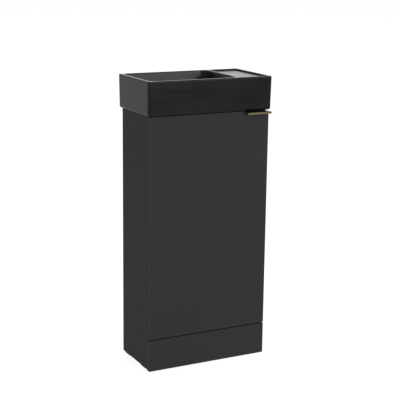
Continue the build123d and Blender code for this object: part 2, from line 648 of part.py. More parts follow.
# ---------------------------------------------------------------- hinges
for label, z_hinge in hinge_zs.items():
    arm_x, arm_y = plan(*arm_pivot_uv)
    pin_x, pin_y = plan(*cup_pivot_uv)
    cup_x, cup_y = plan(cup_u, door_gap)
    nose_inner = link_half_height + link_side_clearance
    nose_outer = nose_inner + arm_sheet
    pivot_clearance = hinge_pin_clearance if label == "upper" else open_pivot_clearance

    with BuildPart() as hinge_link:
        with BuildSketch(Plane.XY.offset(z_hinge - link_half_height)):
            strap([plan(*arm_pivot_uv), plan(*cup_pivot_uv)], link_half_width)
            with Locations(plan(*arm_pivot_uv)):
                Circle(hinge_pin_radius + hinge_pin_clearance, mode=Mode.SUBTRACT)
            with Locations(plan(*cup_pivot_uv)):
                Circle(hinge_pin_radius + pivot_clearance, mode=Mode.SUBTRACT)
        extrude(amount=2 * link_half_height)
    save(hinge_link, f"hinge_link_{label}")

    with BuildPart() as hinge_arm:
        arm_inner_u = board + plate_thickness
        elbow_u = arm_elbow_uv[0]
        web_u = elbow_u + nose_half_width
        arm_low = plan(web_u - arm_sheet, arm_web_v)
        arm_high = plan(web_u, arm_end_v)
        block((arm_low[0], arm_low[1], z_hinge - nose_outer),
              (arm_high[0], arm_high[1], z_hinge + nose_outer))
        for z_low in (z_hinge - nose_outer, z_hinge + nose_inner):
            flange_low = plan(arm_inner_u, arm_web_v)
            block((flange_low[0], flange_low[1], z_low), (arm_high[0], arm_high[1], z_low + arm_sheet))
            with BuildSketch(Plane.XY.offset(z_low)):
                strap([plan(*arm_pivot_uv), plan(*arm_elbow_uv), plan(elbow_u, arm_web_v - nose_half_width)],
                      nose_half_width)
            extrude(amount=arm_sheet)
        rod((arm_x, arm_y, z_hinge - nose_outer), (arm_x, arm_y, z_hinge + nose_outer),
            hinge_pin_radius, mode=Mode.SUBTRACT)
        screw_x, screw_y = plan(web_u, plate_v_middle)
        rod((screw_x, screw_y, z_hinge), (screw_x - arm_sheet, screw_y, z_hinge),
            arm_screw_radius + press_clearance, mode=Mode.SUBTRACT)
    save(hinge_arm, f"hinge_arm_{label}")

    with BuildPart() as hinge_plate:
        plate_low = plan(board, max(plate_v))
        plate_high = plan(arm_inner_u, min(plate_v))
        block((plate_low[0], plate_low[1], z_hinge - plate_half_height),
              (plate_high[0], plate_high[1], z_hinge + plate_half_height))
        fillet(hinge_plate.edges().filter_by(Axis.X), plate_corner_radius)
        rib_low = plan(board, arm_web_v - plate_thickness)
        rib_high = plan(web_u - arm_sheet - rib_clearance, arm_end_v + plate_thickness)
        block((rib_low[0], rib_low[1], z_hinge - link_half_height),
              (rib_high[0], rib_high[1], z_hinge + link_half_height))
        for z in (z_hinge - plate_screw_spread, z_hinge + plate_screw_spread):
            hole_x, hole_y = plan(board, plate_v_middle)
            rod((hole_x, hole_y, z), (hole_x + plate_thickness, hole_y, z),
                plate_screw_radius + press_clearance, mode=Mode.SUBTRACT)
        rod((rib_low[0], screw_y, z_hinge), (rib_high[0], screw_y, z_hinge),
            arm_screw_radius + press_clearance, mode=Mode.SUBTRACT)
    save(hinge_plate, f"hinge_plate_{label}")

    with BuildPart() as hinge_cup:
        cup_shape(z_hinge, cup_radius - press_clearance)
        rod((cup_x, cup_y, z_hinge), (cup_x, cup_y - cup_height + cup_floor, z_hinge),
            cup_radius - press_clearance - cup_wall, mode=Mode.SUBTRACT)
        rod((pin_x, pin_y, z_hinge - cup_radius), (pin_x, pin_y, z_hinge + cup_radius),
            hinge_pin_radius, mode=Mode.SUBTRACT)
        for z in (z_hinge - cup_screw_spread, z_hinge + cup_screw_spread):
            rod((cup_x, cup_y, z), (cup_x, cup_y - cup_flange, z), cup_screw_head, mode=Mode.SUBTRACT)
    save(hinge_cup, f"hinge_cup_{label}")

    with BuildPart() as hinge_arm_pin:
        rod((arm_x, arm_y, z_hinge - nose_outer), (arm_x, arm_y, z_hinge + nose_outer), hinge_pin_radius)
    save(hinge_arm_pin, f"hinge_arm_pin_{label}")

    with BuildPart() as hinge_cup_pin:
        pin_reach = ((cup_radius - press_clearance) ** 2 - (pin_x - cup_x) ** 2) ** 0.5 - cup_wall / 2
        rod((pin_x, pin_y, z_hinge - pin_reach), (pin_x, pin_y, z_hinge + pin_reach), hinge_pin_radius)
    save(hinge_cup_pin, f"hinge_cup_pin_{label}")

    with BuildPart() as hinge_arm_screw:
        rod((screw_x, screw_y, z_hinge), (screw_x + arm_sheet, screw_y, z_hinge), arm_screw_head)
        rod((screw_x, screw_y, z_hinge), (rib_low[0], screw_y, z_hinge), arm_screw_radius)
    save(hinge_arm_screw, f"hinge_arm_screw_{label}")

    with BuildPart() as hinge_plate_screws:
        for z in (z_hinge - plate_screw_spread, z_hinge + plate_screw_spread):
            head_x, head_y = plan(arm_inner_u, plate_v_middle)
            rod((head_x, head_y, z), (head_x + arm_sheet, head_y, z), plate_screw_head)
            rod((head_x, head_y, z), (head_x - plate_thickness - plate_screw_length, head_y, z),
                plate_screw_radius)
    save(hinge_plate_screws, f"hinge_plate_screws_{label}")

    with BuildPart() as hinge_cup_screws:
        for z in (z_hinge - cup_screw_spread, z_hinge + cup_screw_spread):
            rod((cup_x, cup_y, z), (cup_x, cup_y - cup_flange, z), cup_screw_head - press_clearance)
            rod((cup_x, cup_y, z), (cup_x, cup_y - cup_screw_length, z), cup_screw_radius)
    save(hinge_cup_screws, f"hinge_cup_screws_{label}")

with BuildPart() as door:
    block((-half_cabinet, y_door_front, z_door_bottom), (half_cabinet, y_door_back, z_door_top))
    block((x_handle_start - handle_notch_play, y_door_front, z_notch),
          (half_cabinet, y_door_back, z_door_top), mode=Mode.SUBTRACT)
    for z_hinge in hinge_zs.values():
        cup_x, cup_y = plan(cup_u, door_gap)
        cup_shape(z_hinge, cup_radius, mode=Mode.SUBTRACT)
        for z in (z_hinge - cup_screw_spread, z_hinge + cup_screw_spread):
            rod((cup_x, cup_y, z), (cup_x, cup_y - cup_screw_length, z), cup_screw_radius + press_clearance,
                mode=Mode.SUBTRACT)
    for x in handle_screw_xs:
        rod((x, y_door_back, z_handle_screw), (x, y_door_back - handle_screw_length, z_handle_screw),
            handle_screw_radius + press_clearance, mode=Mode.SUBTRACT)
save(door, "door")

with BuildPart() as door_buffers:
    for z in (z_door_top - buffer_drop, z_door_bottom + buffer_drop):
        x = half_cabinet - buffer_inset
        rod((x, y_door_back, z), (x, y_door_back + buffer_height, z), buffer_radius)
save(door_buffers, "door_buffers")
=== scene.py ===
import logging
import math
from dataclasses import dataclass, field
from enum import Enum
from typing import Iterable, Optional, Sequence, Union

import bmesh
import bpy
from mathutils import Matrix, Vector


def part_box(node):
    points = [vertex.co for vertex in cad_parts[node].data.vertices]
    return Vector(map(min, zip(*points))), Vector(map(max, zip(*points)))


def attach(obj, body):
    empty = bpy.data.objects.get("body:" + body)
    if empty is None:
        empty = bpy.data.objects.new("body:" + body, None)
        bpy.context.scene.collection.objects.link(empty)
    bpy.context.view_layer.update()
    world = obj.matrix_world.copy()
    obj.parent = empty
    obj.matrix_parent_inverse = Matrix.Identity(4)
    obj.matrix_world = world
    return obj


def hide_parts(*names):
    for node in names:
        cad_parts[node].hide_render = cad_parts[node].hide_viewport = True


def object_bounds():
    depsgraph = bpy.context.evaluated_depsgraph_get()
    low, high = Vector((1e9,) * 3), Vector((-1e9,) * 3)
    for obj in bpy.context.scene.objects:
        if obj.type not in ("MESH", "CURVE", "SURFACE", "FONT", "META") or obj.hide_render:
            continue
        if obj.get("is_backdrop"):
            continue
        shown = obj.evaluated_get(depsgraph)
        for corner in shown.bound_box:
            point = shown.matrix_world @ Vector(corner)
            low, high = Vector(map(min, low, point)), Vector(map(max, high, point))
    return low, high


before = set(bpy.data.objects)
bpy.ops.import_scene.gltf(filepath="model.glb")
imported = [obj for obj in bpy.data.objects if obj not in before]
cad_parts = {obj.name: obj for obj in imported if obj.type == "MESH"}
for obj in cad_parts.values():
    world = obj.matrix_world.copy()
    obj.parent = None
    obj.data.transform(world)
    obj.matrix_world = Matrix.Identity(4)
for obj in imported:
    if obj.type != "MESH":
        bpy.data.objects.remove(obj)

LOG = logging.getLogger("wash_stand")
MM = 0.001
Colour = tuple[float, float, float, float]
Point = tuple[float, float]
Triple = tuple[float, float, float]
Feed = Union[bpy.types.NodeSocket, float, Sequence[float]]


def grey(value: float, tint: Triple = (1.0, 1.0, 1.0)) -> Colour:
    """A linear grey with a tint."""
    return (value * tint[0], value * tint[1], value * tint[2], 1.0)


def shade(colour: Colour, factor: float) -> Colour:
    """A colour made lighter or darker by a factor, no brighter than full."""
    return tuple(min(channel * factor, 1.0) for channel in colour[:3]) + (1.0,)


def corners(node: str) -> tuple[Vector, Vector]:
    """The lowest and the highest corner of a CAD node, in millimetres."""
    low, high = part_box(node)
    return low / MM, high / MM


def middle(node: str) -> Vector:
    """The middle of a CAD node's box, in millimetres."""
    low, high = corners(node)
    return (low + high) / 2


def islands(node: str) -> list[tuple[Vector, Vector]]:
    """Finds the separate solids of a CAD node.

    Args:
        node: The CAD node's name.

    Returns:
        The lowest and the highest corner of each solid, in millimetres, from left to right.
    """
    shape = bmesh.new()
    shape.from_mesh(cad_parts[node].data)
    bmesh.ops.remove_doubles(shape, verts=shape.verts, dist=1e-6)
    left = set(shape.verts)
    boxes = []
    while left:
        reached = [left.pop()]
        for vert in reached:
            near = {edge.other_vert(vert) for edge in vert.link_edges} & left
            left -= near
            reached.extend(near)
        low = Vector(min(v.co[axis] for v in reached) for axis in range(3))
        high = Vector(max(v.co[axis] for v in reached) for axis in range(3))
        boxes.append((low / MM, high / MM))
    shape.free()
    return sorted(boxes, key=lambda box: tuple(box[0]))


# ---------------------------------------------------------------- shader graphs
class Graph:
    """A short way to write a material's or a world's node graph."""

    def __init__(self, tree: bpy.types.NodeTree) -> None:
        """Empties the tree.

        Args:
            tree: The node tree to write into.
        """
        self.tree = tree
        self.tree.nodes.clear()

    def node(self, kind: str, settings: Optional[dict[str, Union[str, bool]]] = None,
             **inputs: Feed) -> bpy.types.Node:
        """Adds a node.

        Args:
            kind: The node's type name, without the ShaderNode prefix.
            settings: Attributes of the node, such as its operation.
            inputs: Constants or outputs to link, by socket name with underscores for spaces.

        Returns:
            The new node.
        """
        made = self.tree.nodes.new("ShaderNode" + kind)
        for name, value in (settings or {}).items():
            setattr(made, name, value)
        for name, value in inputs.items():
            self.feed(made.inputs[name.replace("_", " ")], value)
        return made

    def feed(self, socket: bpy.types.NodeSocket, value: Feed) -> None:
        """Links an output into an input, or sets the input's own value.

        Args:
            socket: The input.
            value: The output to link, or a constant.
        """
        if isinstance(value, bpy.types.NodeSocket):
            self.tree.links.new(value, socket)
        else:
            socket.default_value = value

    def math(self, operation: str, first: Feed, second: Feed = 0.0,
             clamp: bool = False) -> bpy.types.NodeSocket:
        """Adds a Math node.

        Args:
            operation: The node's operation.
            first: Its first number.
            second: Its second number.
            clamp: True to hold the result between 0 and 1.

        Returns:
            The result.
        """
        made = self.node("Math", {"operation": operation, "use_clamp": clamp})
        self.feed(made.inputs[0], first)
        self.feed(made.inputs[1], second)
        return made.outputs[0]

    def place(self, scale: Triple = (1.0, 1.0, 1.0),
              turn: Triple = (0.0, 0.0, 0.0)) -> bpy.types.NodeSocket:
        """Adds Object coordinates, scaled and turned.

        Args:
            scale: The scale along each axis.
            turn: The rotation about each axis, in radians.

        Returns:
            The coordinates.
        """
        where = self.node("TexCoord").outputs["Object"]
        made = self.node("Mapping", Vector=where)
        made.inputs["Scale"].default_value = scale
        made.inputs["Rotation"].default_value = turn
        return made.outputs[0]

    def noise(self, where: bpy.types.NodeSocket, scale: float, detail: float = 3.0,
              roughness: float = 0.5) -> bpy.types.NodeSocket:
        """Adds a noise texture.

        Args:
            where: The coordinates.
            scale: How fine the noise is; a larger number is finer.
            detail: The number of finer layers.
            roughness: How strong each finer layer is.

        Returns:
            The noise, from 0 to 1.
        """
        made = self.node("TexNoise", Vector=where, Scale=scale, Detail=detail, Roughness=roughness)
        return made.outputs[0]

    def ramp(self, value: bpy.types.NodeSocket,
             stops: Sequence[tuple[float, Colour]]) -> bpy.types.NodeSocket:
        """Adds a colour ramp.

        Args:
            value: The place along the ramp, from 0 to 1.
            stops: Each stop's place and colour, in rising order.

        Returns:
            The colour.
        """
        made = self.node("ValToRGB", Fac=value)
        band = made.color_ramp
        while len(band.elements) < len(stops):
            band.elements.new(0.5)
        for element, (position, colour) in zip(band.elements, stops):
            element.position = position
            element.color = colour
        return made.outputs[0]

    def spread(self, value: bpy.types.NodeSocket, low: float, high: float) -> bpy.types.NodeSocket:
        """Maps a value from 0 to 1 onto another range.

        Args:
            value: The value.
            low: What 0 becomes.
            high: What 1 becomes.

        Returns:
            The mapped value.
        """
        made = self.node("MapRange", Value=value)
        made.inputs["To Min"].default_value = low
        made.inputs["To Max"].default_value = high
        return made.outputs[0]

    def mix(self, factor: Feed, first: Feed, second: Feed) -> bpy.types.NodeSocket:
        """Mixes two colours, of which the factor is the second one's share."""
        return self.blend("MIX", factor, first, second)

    def blend(self, way: str, factor: Feed, first: Feed, second: Feed) -> bpy.types.NodeSocket:
        """Blends two colours in one of the Mix node's ways.

        Args:
            way: The way of blending.
            factor: How much of the second colour is blended in.
            first: The first colour.
            second: The second colour.

        Returns:
            The blended colour.
        """
        made = self.node("Mix", {"data_type": "RGBA", "blend_type": way})
        self.feed(made.inputs[0], factor)
        self.feed(made.inputs[6], first)
        self.feed(made.inputs[7], second)
        return made.outputs[2]

    def edge_band(self, low: Vector, high: Vector, width: float) -> bpy.types.NodeSocket:
        """A mask of a box's twelve edges, which fades out over a width.

        Args:
            low: The box's lowest corner, in metres.
            high: The box's highest corner, in metres.
            width: The mask's width, in metres.

        Returns:
            A value from 1 at an edge to 0 at the width from it.
        """
        split = self.node("SeparateXYZ", Vector=self.node("TexCoord").outputs["Object"])
        gaps = []
        for axis in range(3):
            from_low = self.math("SUBTRACT", split.outputs[axis], low[axis])
            from_high = self.math("SUBTRACT", high[axis], split.outputs[axis])
            gaps.append(self.math("MINIMUM", from_low, from_high))
        nearer = self.math("MINIMUM", gaps[0], gaps[1])
        farther = self.math("MAXIMUM", gaps[0], gaps[1])
        second = self.math("MAXIMUM", nearer, self.math("MINIMUM", farther, gaps[2]))
        return self.math("SUBTRACT", 1.0, self.math("DIVIDE", second, width), clamp=True)

    def faces_along(self, axis: int) -> bpy.types.NodeSocket:
        """A mask of the faces that look along one of the object's own axes, either way."""
        split = self.node("SeparateXYZ", Vector=self.node("TexCoord").outputs["Normal"])
        return self.math("GREATER_THAN", self.math("ABSOLUTE", split.outputs[axis]), 0.7)

    def bump(self, height: bpy.types.NodeSocket, strength: float, distance: float,
             below: Optional[bpy.types.NodeSocket] = None) -> bpy.types.NodeSocket:
        """Adds a bump, over another one if there is one below.

        Args:
            height: The relief, from 0 to 1.
            strength: How much of the relief shows.
            distance: The relief's depth, in metres.
            below: The normal of the bump below.

        Returns:
            The normal.
        """
        made = self.node("Bump", Height=height, Strength=strength, Distance=distance)
        if below is not None:
            self.feed(made.inputs["Normal"], below)
        return made.outputs[0]


# ---------------------------------------------------------------- finishes
@dataclass(frozen=True)
class Finish:
    """A surface finish, built once as a material."""

    name: str

    def material(self) -> bpy.types.Material:
        """Finds the finish's material, or makes it the first time that it is asked for.

        Returns:
            The material.
        """
        found = bpy.data.materials.get(self.name)
        if found is None:
            found = bpy.data.materials.new(self.name)
            found.use_nodes = True
            graph = Graph(found.node_tree)
            surface = graph.node("BsdfPrincipled")
            self.paint(graph, surface)
            out = graph.node("OutputMaterial")
            graph.feed(out.inputs["Surface"], surface.outputs[0])
        return found

    def paint(self, graph: Graph, surface: bpy.types.Node) -> None:
        """Writes the finish's own nodes.

        Args:
            graph: The material's graph.
            surface: The Principled shader to feed.
        """
        raise NotImplementedError


@dataclass(frozen=True)
class BoardFoil(Finish):
    """Matt anthracite foil on one board with banded edges: peel, faint clouds and rubbed arrises."""

    node: str = "door"
    face_axis: int = 1
    tone: float = 0.0266
    tint: Triple = (0.99, 1.0, 1.02)
    roughness: float = 0.60
    specular: float = 0.02
    rubbed_width: float = 0.0009
    rubbed_tone: float = 1.9
    rubbed_polish: float = 0.12
    banding_tone: float = 1.10
    cloud_scale: float = 4.0
    fleck_scale: float = 1100.0
    patch_scale: float = 35.0
    sheen_scale: float = 22.0
    peel_scale: float = 480.0

    def paint(self, graph: Graph, surface: bpy.types.Node) -> None:
        """Writes the foil's nodes.

        Args:
            graph: The material's graph.
            surface: The Principled shader to feed.
        """
        low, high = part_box(self.node)
        plain = graph.place()
        cloud = graph.noise(plain, self.cloud_scale, 4.0)
        fleck = graph.noise(plain, self.fleck_scale, 2.0)
        patch = graph.noise(plain, self.patch_scale, 4.0)
        sheen = graph.noise(plain, self.sheen_scale, 5.0)
        tone = graph.ramp(cloud, [(0.25, grey(self.tone * 0.97, self.tint)),
                                  (0.75, grey(self.tone * 1.03, self.tint))])
        dots = graph.ramp(fleck, [(0.35, grey(0.88)), (0.65, grey(1.12))])
        face = graph.blend("MULTIPLY", 0.6, tone, dots)
        edge = graph.blend("MULTIPLY", 1.0, face, grey(self.banding_tone))
        board = graph.mix(graph.faces_along(self.face_axis), edge, face)
        arrises = graph.edge_band(low, high, self.rubbed_width)
        rubbed = graph.math("MULTIPLY", arrises, graph.spread(patch, 0.15, 0.75), clamp=True)
        worn = grey(self.tone * self.rubbed_tone, self.tint)
        graph.feed(surface.inputs["Base Color"], graph.mix(rubbed, board, worn))
        rough = graph.spread(sheen, self.roughness - 0.04, self.roughness + 0.05)
        polish = graph.math("MULTIPLY", rubbed, self.rubbed_polish)
        graph.feed(surface.inputs["Roughness"], graph.math("SUBTRACT", rough, polish))
        surface.inputs["Specular IOR Level"].default_value = self.specular
        peel = graph.bump(graph.noise(plain, self.peel_scale, 3.0), 0.10, 0.0003)
        graph.feed(surface.inputs["Normal"], graph.bump(fleck, 0.12, 0.0001, peel))


@dataclass(frozen=True)
class CastMineral(Finish):
    """Dark cast mineral with a silky skin: long wiped streaks, faint mottling and a few pinholes."""

    tone: float = 0.0072
    tint: Triple = (1.03, 1.0, 0.95)
    roughness: float = 0.23
    ior: float = 1.19
    mottling: float = 0.55
    streaking: float = 0.35
    cloud_stretch: Triple = (5.0, 5.0, 9.0)
    streak_stretch: Triple = (5.0, 9.0, 75.0)
    streak_tilt: Triple = (0.0, 0.02, 0.03)
    wave_scale: float = 6.0
    pit_scale: float = 240.0

    def paint(self, graph: Graph, surface: bpy.types.Node) -> None:
        """Writes the cast stone's nodes.

        Args:
            graph: The material's graph.
            surface: The Principled shader to feed.
        """
        plain = graph.place()
        cloud = graph.noise(graph.place(self.cloud_stretch), 1.0, 6.0, 0.6)
        wiped = graph.noise(graph.place(self.streak_stretch, self.streak_tilt), 1.0, 5.0, 0.6)
        tone = graph.ramp(cloud, [(0.30, grey(self.tone * (1 - self.mottling), self.tint)),
                                  (0.70, grey(self.tone * (1 + self.mottling), self.tint))])
        streaks = graph.ramp(wiped, [(0.30, grey(1 - self.streaking)), (0.70, grey(1 + self.streaking))])
        graph.feed(surface.inputs["Base Color"], graph.blend("MULTIPLY", 0.8, tone, streaks))
        silk = graph.spread(cloud, self.roughness - 0.05, self.roughness + 0.06)
        graph.feed(surface.inputs["Roughness"], graph.math("ADD", graph.spread(wiped, -0.04, 0.05), silk))
        surface.inputs["IOR"].default_value = self.ior
        wave = graph.bump(graph.noise(plain, self.wave_scale, 1.0), 0.05, 0.002)
        rubbed = graph.bump(wiped, 0.008, 0.0003, wave)
        pits = graph.ramp(graph.noise(plain, self.pit_scale, 2.0), [(0.20, grey(0.0)), (0.27, grey(1.0))])
        graph.feed(surface.inputs["Normal"], graph.bump(pits, 0.03, 0.0001, rubbed))


@dataclass(frozen=True)
class BrushedMetal(Finish):
    """Brushed metal: long fine lines along one direction, uneven sheen and faint finger marks."""

    colour: Colour = (0.105, 0.089, 0.052, 1.0)
    lines: Triple = (6.0, 1800.0, 1800.0)
    roughness: float = 0.34
    smear_scale: float = 70.0

    def paint(self, graph: Graph, surface: bpy.types.Node) -> None:
        """Writes the brushed metal's nodes.

        Args:
            graph: The material's graph.
            surface: The Principled shader to feed.
        """
        brushing = graph.noise(graph.place(self.lines), 1.0, 4.0, 0.6)
        smear = graph.noise(graph.place(), self.smear_scale, 3.0)
        streaks = graph.ramp(brushing, [(0.3, shade(self.colour, 0.82)), (0.7, shade(self.colour, 1.16))])
        marks = graph.ramp(smear, [(0.35, grey(0.90)), (0.65, grey(1.06))])
        graph.feed(surface.inputs["Base Color"], graph.blend("MULTIPLY", 0.8, streaks, marks))
        sheen = graph.spread(smear, self.roughness - 0.05, self.roughness + 0.06)
        scratched = graph.spread(brushing, -0.07, 0.07)
        graph.feed(surface.inputs["Roughness"], graph.math("ADD", scratched, sheen))
        surface.inputs["Metallic"].default_value = 1.0
        graph.feed(surface.inputs["Normal"], graph.bump(brushing, 0.14, 0.0001))


@dataclass(frozen=True)
class PlatedMetal(Finish):
    """Plated metal: bright, with slight waviness, clouded patches and fine scuffs."""

    colour: Colour = (0.75, 0.76, 0.78, 1.0)
    roughness: float = 0.12
    waviness: float = 0.03
    patch_scale: float = 90.0
    haze_scale: float = 240.0
    wave_scale: float = 55.0
    scuff_stretch: Triple = (260.0, 900.0, 500.0)
    scuff_turn: Triple = (0.4, 0.2, 0.9)

    def paint(self, graph: Graph, surface: bpy.types.Node) -> None:
        """Writes the plating's nodes.

        Args:
            graph: The material's graph.
            surface: The Principled shader to feed.
        """
        plain = graph.place()
        patch = graph.noise(plain, self.patch_scale, 5.0)
        tone = graph.ramp(patch, [(0.3, shade(self.colour, 0.90)), (0.7, self.colour)])
        graph.feed(surface.inputs["Base Color"], tone)
        scuffs = graph.noise(graph.place(self.scuff_stretch, self.scuff_turn), 1.0, 3.0)
        haze = graph.noise(plain, self.haze_scale, 4.0)
        rough = graph.spread(haze, self.roughness * 0.6, self.roughness * 1.4)
        graph.feed(surface.inputs["Roughness"], graph.math("ADD", rough, graph.spread(scuffs, -0.02, 0.05)))
        surface.inputs["Metallic"].default_value = 1.0
        wave = graph.noise(plain, self.wave_scale, 2.0)
        graph.feed(surface.inputs["Normal"], graph.bump(wave, self.waviness, 0.001))


@dataclass(frozen=True)
class MouldedPlastic(Finish):
    """Moulded plastic: fine spark-eroded texture, soft flow marks and slight colour drift."""

    colour: Colour = (0.80, 0.80, 0.78, 1.0)
    roughness: float = 0.35
    texture: float = 0.08
    specular: float = 0.45
    clearness: float = 0.0
    drift_scale: float = 18.0
    sheen_scale: float = 160.0
    grain_scale: float = 1500.0
    flow_stretch: Triple = (1.0, 1.0, 0.2)
    flow_scale: float = 40.0

    def paint(self, graph: Graph, surface: bpy.types.Node) -> None:
        """Writes the plastic's nodes.

        Args:
            graph: The material's graph.
            surface: The Principled shader to feed.
        """
        plain = graph.place()
        drift = graph.noise(plain, self.drift_scale, 3.0)
        tone = graph.ramp(drift, [(0.3, shade(self.colour, 0.93)), (0.7, shade(self.colour, 1.04))])
        graph.feed(surface.inputs["Base Color"], tone)
        sheen = graph.noise(plain, self.sheen_scale, 3.0)
        rough = graph.spread(sheen, self.roughness - 0.05, self.roughness + 0.08)
        graph.feed(surface.inputs["Roughness"], rough)
        surface.inputs["Specular IOR Level"].default_value = self.specular
        surface.inputs["Transmission Weight"].default_value = self.clearness
        flow = graph.bump(graph.noise(graph.place(self.flow_stretch), self.flow_scale, 2.0), 0.05, 0.0006)
        grain = graph.noise(plain, self.grain_scale, 2.0)
        graph.feed(surface.inputs["Normal"], graph.bump(grain, self.texture, 0.0001, flow))


@dataclass(frozen=True)
class SoftRubber(Finish):
    """Soft rubber or sealant: dull, with a bloom of paler powder."""

    colour: Colour = (0.03, 0.03, 0.03, 1.0)
    bloom: Colour = (0.07, 0.07, 0.07, 1.0)
    roughness: float = 0.75
    specular: float = 0.3
    dust_scale: float = 110.0
    grain_scale: float = 800.0

    def paint(self, graph: Graph, surface: bpy.types.Node) -> None:
        """Writes the rubber's nodes.

        Args:
            graph: The material's graph.
            surface: The Principled shader to feed.
        """
        plain = graph.place()
        dust = graph.noise(plain, self.dust_scale, 5.0, 0.65)
        graph.feed(surface.inputs["Base Color"], graph.ramp(dust, [(0.4, self.colour), (0.75, self.bloom)]))
        rough = graph.spread(dust, self.roughness - 0.08, self.roughness + 0.1)
        graph.feed(surface.inputs["Roughness"], rough)
        surface.inputs["Specular IOR Level"].default_value = self.specular
        grain = graph.noise(plain, self.grain_scale, 2.0)
        graph.feed(surface.inputs["Normal"], graph.bump(grain, 0.15, 0.0001))


@dataclass(frozen=True)
class BeechWood(Finish):
    """Turned beech: warm tone with short dark flecks along the grain."""

    grain: Triple = (200.0, 8.0, 200.0)
    pale: Colour = (0.66, 0.47, 0.28, 1.0)
    warm: Colour = (0.45, 0.29, 0.15, 1.0)
    fleck: Colour = (0.28, 0.16, 0.08, 1.0)

    def paint(self, graph: Graph, surface: bpy.types.Node) -> None:
        """Writes the wood's nodes.

        Args:
            graph: The material's graph.
            surface: The Principled shader to feed.
        """
        along = graph.place(self.grain)
        fibre = graph.noise(along, 3.0, 5.0, 0.6)
        tone = graph.ramp(fibre, [(0.3, self.warm), (0.7, self.pale)])
        mark = graph.ramp(graph.noise(along, 9.0, 2.0), [(0.62, grey(0.0)), (0.70, grey(1.0))])
        graph.feed(surface.inputs["Base Color"], graph.mix(mark, tone, self.fleck))
        graph.feed(surface.inputs["Roughness"], graph.spread(fibre, 0.5, 0.68))
        graph.feed(surface.inputs["Normal"], graph.bump(fibre, 0.25, 0.0003))


class Stock(Enum):
    """The finishes that the fittings are made in, each with its material slot in the record."""

    BASIN = (CastMineral("cast_mineral_anthracite"), "cast_basin")
    BRASS = (BrushedMetal("brushed_dark_brass", roughness=0.42), "brushed_brass")
    STEEL = (BrushedMetal("rolled_hinge_steel", colour=(0.56, 0.56, 0.55, 1.0), lines=(900.0, 40.0, 900.0),
                          roughness=0.30), "zinc_steel")
    NICKEL = (PlatedMetal("nickel_plate", colour=(0.62, 0.60, 0.56, 1.0), roughness=0.22), "zinc_steel")
    ZINC = (PlatedMetal("cast_zinc", colour=(0.50, 0.50, 0.51, 1.0), roughness=0.34,
                        waviness=0.10), "zinc_steel")
    CHROME = (PlatedMetal("bright_chrome", colour=(0.50, 0.51, 0.53, 1.0), roughness=0.10,
                          waviness=0.02), "chrome")
    TRAP = (MouldedPlastic("white_trap_plastic", colour=(0.78, 0.78, 0.76, 1.0)), "white_plastic")
    BLACK = (MouldedPlastic("black_moulded_plastic", colour=(0.022, 0.022, 0.024, 1.0), roughness=0.5,
                            texture=0.2), "dark_plastic")
    BUFFER = (MouldedPlastic("clear_door_buffer", colour=(0.80, 0.81, 0.80, 1.0), roughness=0.22,
                             clearness=0.75), "clear_buffer")
    SEAL = (SoftRubber("black_seal_rubber"), "seal_rubber")
    SEALANT = (SoftRubber("anthracite_sealant", colour=(0.016, 0.016, 0.017, 1.0),
                          bloom=(0.024, 0.024, 0.025, 1.0), roughness=0.42), "seal_rubber")
    BEECH = (BeechWood("turned_beech"), "beech")

    @property
    def finish(self) -> Finish:
        """The finish itself."""
        return self.value[0]

    @property
    def slot(self) -> str:
        """The material slot's name in the record."""
        return self.value[1]


def paint_node(node: str, finish: Finish) -> bpy.types.Object:
    """Gives a CAD node one finish all over.

    Args:
        node: The CAD node's name.
        finish: The finish.

    Returns:
        The node's object.
    """
    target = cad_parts[node]
    target.data.materials.clear()
    target.data.materials.append(finish.material())
    LOG.info("dressed %s in %s", node, finish.name)
    return target


def soften(target: bpy.types.Object, width: float, angle: float = 50.0) -> None:
    """Rounds an object's sharp edges with modifiers.

    Args:
        target: The object.
        width: The rounding's width, in millimetres.
        angle: The smallest angle between two faces, in degrees, whose edge is rounded.
    """
    weld = target.modifiers.new("join_faces", "WELD")
    weld.merge_threshold = 1e-6
    bevel = target.modifiers.new("soft_edges", "BEVEL")
    bevel.width = width * MM
    bevel.segments = 2
    bevel.limit_method = "ANGLE"
    bevel.angle_limit = math.radians(angle)
    bevel.harden_normals = False
    bevel.use_clamp_overlap = True


